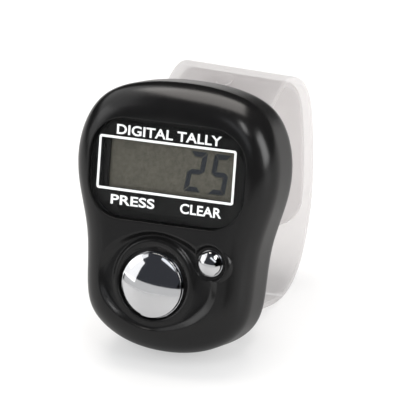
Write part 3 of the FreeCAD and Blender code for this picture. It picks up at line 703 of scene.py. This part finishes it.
def words(name, text, left, right, low, high):
    """Generic printed words that fill the given box on the lens."""
    font = bpy.data.curves.new(name, "FONT")
    font.body = text
    font.offset = 0.022
    font.space_character = 1.02
    font.resolution_u = 6
    holder = bpy.data.objects.new(name + "_source", font)
    bpy.context.scene.collection.objects.link(holder)
    graph = bpy.context.evaluated_depsgraph_get()
    flat = bpy.data.meshes.new_from_object(holder.evaluated_get(graph))
    bpy.data.objects.remove(holder)
    co = np.array([v.co for v in flat.vertices])
    lowest, highest = co.min(0), co.max(0)
    x = left + (co[:, 0] - lowest[0]) / (highest[0] - lowest[0]) * (right - left)
    z = low + (co[:, 1] - lowest[1]) / (highest[1] - lowest[1]) * (high - low)
    points = [(px, PRINT_FRONT, pz) for px, pz in zip(x, z)]
    faces = [tuple(p.vertices) for p in flat.polygons]
    obj = make_object(name, points, faces, MAT["ink"], False)
    solid = obj.modifiers.new("thickness", "SOLIDIFY")
    solid.thickness = PRINT_THICKNESS * MM
    solid.offset = 0
    graph = bpy.context.evaluated_depsgraph_get()
    obj.data = bpy.data.meshes.new_from_object(obj.evaluated_get(graph))
    obj.modifiers.clear()
    return piece(obj, "case", "print")


SEGMENTS = {"2": "abged", "5": "afgcd"}
DIGIT_WIDTH = 2.6
DIGIT_HEIGHT = 5.75
DIGIT_SLANT = 0.135
DIGIT_FOOT = -3.0
DIGIT_THICKNESS = 0.012
STROKE = 0.7
STROKE_GAP = 0.09
SHADOW_OFFSET = (-0.12, -0.14)


def digit(name, which, x0, z0, y, material):
    """A seven-segment digit with mitred, slightly slanted strokes; x0, z0 is its lower left corner."""
    w, h, s, gap = DIGIT_WIDTH, DIGIT_HEIGHT, STROKE, STROKE_GAP
    mid = h / 2
    shapes = {
        "a": [(gap, h), (w - gap, h), (w - s - gap * 0.5, h - s), (s + gap * 0.5, h - s)],
        "d": [(gap, 0), (w - gap, 0), (w - s - gap * 0.5, s), (s + gap * 0.5, s)],
        "g": [(gap * 1.5, mid), (s, mid + s / 2), (w - s, mid + s / 2), (w - gap * 1.5, mid),
              (w - s, mid - s / 2), (s, mid - s / 2)],
        "b": [(w, h - gap), (w, mid + gap), (w - s * 0.5, mid + gap), (w - s, mid + s / 2 + gap),
              (w - s, h - s - gap)],
        "c": [(w, gap), (w, mid - gap), (w - s * 0.5, mid - gap), (w - s, mid - s / 2 - gap),
              (w - s, s + gap)],
        "f": [(0, h - gap), (0, mid + gap), (s * 0.5, mid + gap), (s, mid + s / 2 + gap), (s, h - s - gap)],
        "e": [(0, gap), (0, mid - gap), (s * 0.5, mid - gap), (s, mid - s / 2 - gap), (s, s + gap)],
    }
    points, faces = [], []
    for key in SEGMENTS[which]:
        loop = [(x0 + x + z * DIGIT_SLANT, z0 + z) for x, z in shapes[key]]
        base = len(points)
        count = len(loop)
        points += [(x, y, z) for x, z in loop] + [(x, y + DIGIT_THICKNESS, z) for x, z in loop]
        faces.append(tuple(range(base, base + count)))
        faces.append(tuple(range(base + count, base + 2 * count)))
        for i in range(count):
            j = (i + 1) % count
            faces.append((base + i, base + j, base + count + j, base + count + i))
    return piece(make_object(name, points, faces, material, False), "case", "polariser")


def display():
    """The lens with its print, and the count of 25 on the film behind it."""
    display_lens()
    frame_line()
    words("title_print", "DIGITAL TALLY", -8.2, 8.05, 4.02, 5.46)
    words("left_word_print", "PRESS", -8.45, -1.6, -6.03, -4.62)
    words("right_word_print", "CLEAR", 2.4, 8.75, -6.1, -4.65)
    for k, (which, x0) in enumerate((("2", 2.13), ("5", 5.82))):
        digit(f"display_digit_{k}", which, x0, DIGIT_FOOT, LCD_FRONT - 0.02, MAT["segment"])
        # The pale copy behind each digit, set a little lower and to the left, is a painted shadow of the
        # segments on the reflector.
        digit(f"display_digit_shadow_{k}", which, x0 + SHADOW_OFFSET[0], DIGIT_FOOT + SHADOW_OFFSET[1],
              LCD_FRONT - 0.006, MAT["segment_shadow"])


# ---------------------------------------------------------------- buttons
DOME_SHARE = 0.965
ROLL_START = 0.3
ROLL_DROP = 0.12
DOME_SHOULDER = 0.55
DOME_GAP = 0.01


def domed_button(name, axis, dome, guide, rim, crown, flange, stem, stem_end, body, node):
    """A chrome cap turned from a fine profile: dome, rolled edge, guide, flange and stem."""
    height = rim - crown
    radius = (dome ** 2 + height ** 2) / (2 * height)
    edge = math.asin(dome / radius)
    profile = [(radius * math.sin(a), crown + radius * (1 - math.cos(a)))
               for a in np.linspace(0, edge * DOME_SHARE, 40)]
    last = profile[-1]
    roll = dome - last[0]
    profile += [(dome - roll * (1 - math.sin(t)), last[1] + (rim + ROLL_DROP - last[1]) * (1 - math.cos(t)))
                for t in np.linspace(ROLL_START, math.pi / 2, 7)]
    profile += [(dome, rim + DOME_SHOULDER), (guide, rim + DOME_SHOULDER), (guide, FLANGE_FRONT),
                (flange, FLANGE_FRONT), (flange, FLANGE_BACK), (stem, FLANGE_BACK), (stem, stem_end)]
    points, faces = tube(lathe(axis, profile, 160))
    obj = make_object(name, points, faces, MAT["chrome"])
    sharpen(obj, 30)
    return piece(obj, body, "chrome", node)


def buttons():
    domed_button("count_button_chrome", COUNT_AXIS, dome=4.7, guide=4.75, rim=0.75, crown=-0.35, flange=5.5,
                 stem=1.6, stem_end=4.9, body="count_key", node="count_button")
    domed_button("reset_button_chrome", RESET_AXIS, dome=1.8, guide=1.88, rim=0.6, crown=-0.15, flange=2.6,
                 stem=0.8, stem_end=5.1, body="reset_key", node="reset_button")


def rubber_dome(button, axis, foot, top):
    """The springy dome under a button."""
    count = 120
    flange, board = FLANGE_BACK + DOME_GAP, BOARD_FRONT - DOME_GAP
    profile = [(foot, board), (foot, board - 0.34), (foot - 0.08, board - 0.43), (foot - 0.5, board - 0.6),
               (foot - 0.58, board - 0.64), (top + 0.02, flange + 0.07), (top - 0.05, flange),
               (top - 0.55, flange), (top - 0.6, flange + 0.05), (foot - 1.1, board)]
    points, faces = tube(lathe(axis, profile, count), caps=False)
    last = len(points) - count
    faces += [(last + i, last + (i + 1) % count, (i + 1) % count, i) for i in range(count)]
    obj = make_object(button + "_rubber_dome", points, faces, MAT["dome"])
    sharpen(obj, 30)
    piece(obj, "case", "dome_rubber", button + "_dome")
    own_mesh(obj)


def coin_cell():
    """The button cell: a drawn can with a rolled rim round a smaller cap, and a shallow stamped ring."""
    radius, front, back = CELL_RADIUS, CELL_BACK - CELL_THICKNESS, CELL_BACK
    cap = radius - 0.7
    profile = [(0, front), (cap - 0.4, front), (cap - 0.12, front)]
    profile += arc((cap - 0.12, front + 0.12), 0.12, 270, 360, 5)
    profile += [(cap, front + 0.37), (cap + 0.12, front + 0.37), (radius - 0.3, front + 0.36)]
    profile += arc((radius - 0.25, front + 0.61), 0.25, 270, 360, 6)
    profile += arc((radius - 0.25, back - 0.25), 0.25, 0, 90, 6)
    profile += [(radius - 0.5, back), (3.75, back), (3.7, back - 0.05), (3.5, back - 0.05), (3.45, back),
                (3.2, back), (0, back)]
    points, faces = tube(lathe(CELL_AXIS, profile, 160))
    obj = make_object("button_cell", points, faces, MAT["cell"])
    sharpen(obj, 30)
    piece(obj, "case", "steel", "coin_cell")


# ---------------------------------------------------------------- strap
STRAP_COUNT = 260


def strap_line(x, inset):
    """Side-view points of the strap at one x, moved into the loop by inset: arrays of y and z."""
    lift = STRAP_TWIST * (STRAP_HALF_WIDTH - x) / (2 * STRAP_HALF_WIDTH)
    path = [(y, z + lift * max(0, z - UPPER_PIN[1]) / (STRAP_TOP - UPPER_PIN[1])) for y, z in STRAP_PATH]
    point, tangent = spline(path, False, STRAP_COUNT)
    inward = np.stack([tangent[:, 1], -tangent[:, 0]], 1)
    return point + inward * inset


def band(outer, inner, half_width, first, last, corner=0.28, tail=0.0):
    """Points and faces of a band between two insets, its long edges rounded; tail rounds its last end."""
    section = []
    depth = inner - outer
    corner = min(corner, depth / 2 - 0.01)
    for sx, angles, inset in ((-1, (180, 90), outer + corner), (1, (90, 0), outer + corner),
                              (1, (0, -90), inner - corner), (-1, (-90, -180), inner - corner)):
        for a in np.radians(np.linspace(angles[0], angles[1], 6)):
            section.append((sx, corner * abs(math.cos(a)), inset - corner * math.sin(a)))
    middle = strap_line(0, outer)
    run = np.concatenate([[0], np.cumsum(np.linalg.norm(np.diff(middle, axis=0), axis=1))])
    lines = {}
    rings = []
    for i in range(first, last + 1):
        width = half_width
        left = run[last] - run[i]
        if tail and left < tail:
            width = half_width - tail + math.sqrt(max(0, tail ** 2 - (tail - left) ** 2))
        ring = []
        for sx, side, inset in section:
            x = sx * (width - corner + side)
            key = round(inset, 4)
            if key not in lines:
                lines[key] = (strap_line(-STRAP_HALF_WIDTH, inset), strap_line(STRAP_HALF_WIDTH, inset))
            low, high = lines[key]
            share = (x + STRAP_HALF_WIDTH) / (2 * STRAP_HALF_WIDTH)
            y, z = low[i] + (high[i] - low[i]) * share
            ring.append((x, y, z))
        rings.append(np.array(ring))
    return tube(rings)


def knuckle(pin):
    """The strap's rolled end round its pin."""
    half, bevel = STRAP_HALF_WIDTH, 0.2
    angles = np.linspace(0, 2 * math.pi, 64, endpoint=False)
    profile = [(-half, KNUCKLE_BORE), (-half, KNUCKLE_RADIUS - bevel), (-half + bevel, KNUCKLE_RADIUS),
               (half - bevel, KNUCKLE_RADIUS), (half, KNUCKLE_RADIUS - bevel), (half, KNUCKLE_BORE),
               (-half, KNUCKLE_BORE)]
    rings = [np.stack([np.full(64, x), pin[0] + r * np.cos(angles), pin[1] + r * np.sin(angles)], 1)
             for x, r in profile]
    return tube(rings, caps=False)


def strap():
    """The outer band with its two rolled ends, and the tongue inside it."""
    points, faces = band(0, STRAP_THICKNESS, STRAP_HALF_WIDTH, 0, STRAP_COUNT - 1)
    outer = make_object("strap_outer_band", points, faces, MAT["strap"])
    sharpen(outer, 40)
    piece(outer, "case", "strap", "strap_outer")
    for name, pin in (("strap_knuckle_upper", UPPER_PIN), ("strap_knuckle_lower", LOWER_PIN)):
        points, faces = knuckle(pin)
        ring = make_object(name, points, faces, MAT["strap"])
        sharpen(ring, 50)
        piece(ring, "case", "strap", "strap_outer")
    line = strap_line(0, 0)
    first = int(np.argmax(line[:, 0] > TONGUE_START))
    deep = int(np.argmax(line[:, 0]))
    last = deep + int(np.argmax(line[deep:, 1] < TONGUE_END))
    start = STRAP_THICKNESS + TONGUE_GAP
    points, faces = band(start, start + STRAP_THICKNESS, STRAP_HALF_WIDTH - TONGUE_INSET, first, last, 0.25,
                         TONGUE_CORNER)
    tongue = make_object("strap_tongue_band", points, faces, MAT["strap"])
    sharpen(tongue, 40)
    piece(tongue, "case", "strap", "strap_tongue")


# ---------------------------------------------------------------- pieces kept from the CAD model
KEPT = {
    "back_cover": "case", "battery_door": "case", "lens_mask": "print", "lcd_polariser": "polariser",
    "lcd_front_glass": "glass", "lcd_rear_glass": "glass", "lcd_reflector": "reflector",
    "lcd_holder": "holder", "contact_strip": "strip", "circuit_board": "board", "key_contacts": "carbon",
    "chip_blob": "resin", "crystal": "cell", "chip_parts": "ceramic", "count_pill": "carbon",
    "reset_pill": "carbon", "battery_contact_negative": "spring", "battery_contact_positive": "spring",
    "case_screws": "screw", "board_screws": "screw", "strap_peg": "strap", "strap_pins": "screw",
}


def dress_kept_nodes():
    """Gives the CAD nodes that stay visible their materials and smooth shading."""
    for node, key in KEPT.items():
        data = NODES[node].data
        data.materials.clear()
        data.materials.append(MAT[key])
        data.shade_smooth()
        sharpen(NODES[node], 25)


dress_kept_nodes()
front_case()
display()
buttons()
rubber_dome("count", COUNT_AXIS, 5.2, 2.9)
rubber_dome("reset", RESET_AXIS, 2.8, 1.7)
coin_cell()
strap()


# ---------------------------------------------------------------- camera
# The camera stands half a metre from the display, to the right and above, and looks a little past
# it, so that the object sits in the frame as it does in the picture. It turns with the case's lean:
# CAMERA_LEAN is the lean that the case has in the picture.
CAMERA_DISTANCE = 0.5
CAMERA_NEAR = 0.01
SENSOR = 36.0
FOCAL = 319.5
CAMERA_AZIMUTH = math.radians(24.84)
CAMERA_ELEVATION = math.radians(16.42)
CAMERA_ROLL = math.radians(-0.02)
CAMERA_LEAN = math.radians(9.4)
AIM_RIGHT = -0.0096141
AIM_UP = 0.0087662


def camera_basis():
    """Right, up and forward towards the display, in the row frame."""
    a, e = CAMERA_AZIMUTH, CAMERA_ELEVATION
    right = Vector((math.cos(a), math.sin(a), 0))
    forward = Vector((-math.sin(a) * math.cos(e), math.cos(a) * math.cos(e), -math.sin(e)))
    up = right.cross(forward)
    rolled = right * math.cos(CAMERA_ROLL) + up * math.sin(CAMERA_ROLL)
    up = up * math.cos(CAMERA_ROLL) - right * math.sin(CAMERA_ROLL)
    turn = Matrix.Rotation(-(LEAN - CAMERA_LEAN), 3, "X")
    return turn @ rolled, turn @ up, turn @ forward


def make_camera():
    """The camera of the picture."""
    right, up, forward = camera_basis()
    aimed = (forward - right * AIM_RIGHT - up * AIM_UP).normalized()
    side = (right - aimed * right.dot(aimed)).normalized()
    basis = Matrix((side, side.cross(aimed), -aimed)).transposed().to_4x4()
    data = bpy.data.cameras.new("camera")
    data.sensor_width = SENSOR
    data.lens = FOCAL
    data.clip_start = CAMERA_NEAR
    camera = bpy.data.objects.new("camera", data)
    bpy.context.scene.collection.objects.link(camera)
    display_middle = PLACE @ Vector((0, 0, 0))
    camera.matrix_world = Matrix.Translation(display_middle - forward * CAMERA_DISTANCE) @ basis
    bpy.context.scene.camera = camera


make_camera()


# ---------------------------------------------------------------- floor and light
FLOOR_HALF = 3.0
LAMP_AIM_HEIGHT = 0.02


def floor():
    """A pale floor that looks white but mirrors in the object as grey."""
    n = Nodes("pale_floor")
    cloud = n.noise(n.place(), 0.02, 3.0)
    n.put(Base_Color=n.tint(cloud, (0.40, 0.40, 0.40), (0.42, 0.42, 0.42)))
    n.put(Roughness=n.ramp(cloud, 0.5, 0.6))
    seen = n.add("ShaderNodeLightPath").outputs["Is Camera Ray"]
    n.put(Emission_Color=(1, 1, 1, 1), Emission_Strength=n.ramp(seen, 0.0, 0.43))
    data = bpy.data.meshes.new("floor")
    corners = [(FLOOR_HALF * sx, FLOOR_HALF * sy, 0) for sx, sy in ((-1, -1), (1, -1), (1, 1), (-1, 1))]
    data.from_pydata(corners, [], [(0, 1, 2, 3)])
    data.materials.append(n.material)
    obj = bpy.data.objects.new("floor", data)
    bpy.context.scene.collection.objects.link(obj)


def softbox(name, direction, distance, width, height, radiance, colour=(1, 1, 1), roll=0, mirrored=True):
    """A soft rectangular lamp that faces the object, its brightness given as radiance."""
    data = bpy.data.lights.new(name, "AREA")
    data.shape = "RECTANGLE"
    data.size = width
    data.size_y = height
    data.energy = radiance * math.pi * width * height
    data.color = colour
    obj = bpy.data.objects.new(name, data)
    bpy.context.scene.collection.objects.link(obj)
    away = Vector(direction).normalized()
    obj.location = away * distance + Vector((0, 0, LAMP_AIM_HEIGHT))
    turn = (-away).to_track_quat("-Z", "Y").to_matrix() @ Matrix.Rotation(math.radians(roll), 3, "Z")
    obj.rotation_euler = turn.to_euler()
    obj.visible_glossy = mirrored
    obj.visible_camera = False
    return obj


def keep_off_strap(lamp):
    """Shields the strap from a lamp, so that it stays as evenly lit as the real one."""
    shielded = bpy.data.collections.new("shielded_from_" + lamp.name)
    for obj in bpy.data.objects:
        if obj.type == "MESH" and MAT["strap"] in list(obj.data.materials):
            shielded.objects.link(obj)
    lamp.light_linking.receiver_collection = shielded
    for member in shielded.collection_objects:
        member.light_linking.link_state = "EXCLUDE"


def world():
    """A pale surround that lights and backs the object but does not mirror in it."""
    scene_world = bpy.data.worlds.new("studio")
    bpy.context.scene.world = scene_world
    scene_world.use_nodes = True
    background = scene_world.node_tree.nodes["Background"]
    background.inputs["Color"].default_value = (1, 1, 1, 1)
    background.inputs["Strength"].default_value = 0.3
    scene_world.cycles_visibility.glossy = False


floor()
world()
# name, direction, distance, width, height, radiance, colour, roll
keep_off_strap(softbox("top_softbox", (-0.14, 0.36, 0.92), 0.6, 0.5, 0.46, 4.6, (1.0, 0.96, 0.92)))
softbox("left_softbox", (-0.85, -0.4, 0.37), 0.7, 0.46, 0.4, 1.15)
softbox("left_card", (-0.76, 0.11, 0.63), 0.7, 1.0, 0.48, 1.0)
softbox("front_right_softbox", (0.23, -0.68, 0.7), 0.7, 0.58, 0.13, 1.1, (0.93, 0.96, 1.0), -42)
keep_off_strap(softbox("edge_softbox", (0.39, -0.41, 0.85), 0.7, 0.12, 0.24, 8.0))
softbox("right_softbox", (0.93, -0.05, 0.36), 0.8, 0.3, 0.45, 6.5)
softbox("front_card", (-0.34, -0.93, 0.09), 0.9, 2.1, 0.21, 0.6)
softbox("dim_card", (-0.2, -0.55, 0.6), 1.2, 2.4, 1.6, 0.045, (0.9, 0.95, 1.1))
softbox("right_fill", (0.85, -0.5, 0.1), 1.0, 0.9, 0.9, 3.2, mirrored=False)
softbox("front_fill", (-0.25, -0.9, 0.45), 1.0, 0.9, 0.9, 2.0, mirrored=False)
softbox("back_fill", (0.35, 0.9, 0.14), 1.0, 0.9, 0.7, 6.0, (1.0, 0.98, 0.97), mirrored=False)
bpy.context.scene.view_settings.view_transform = "Standard"
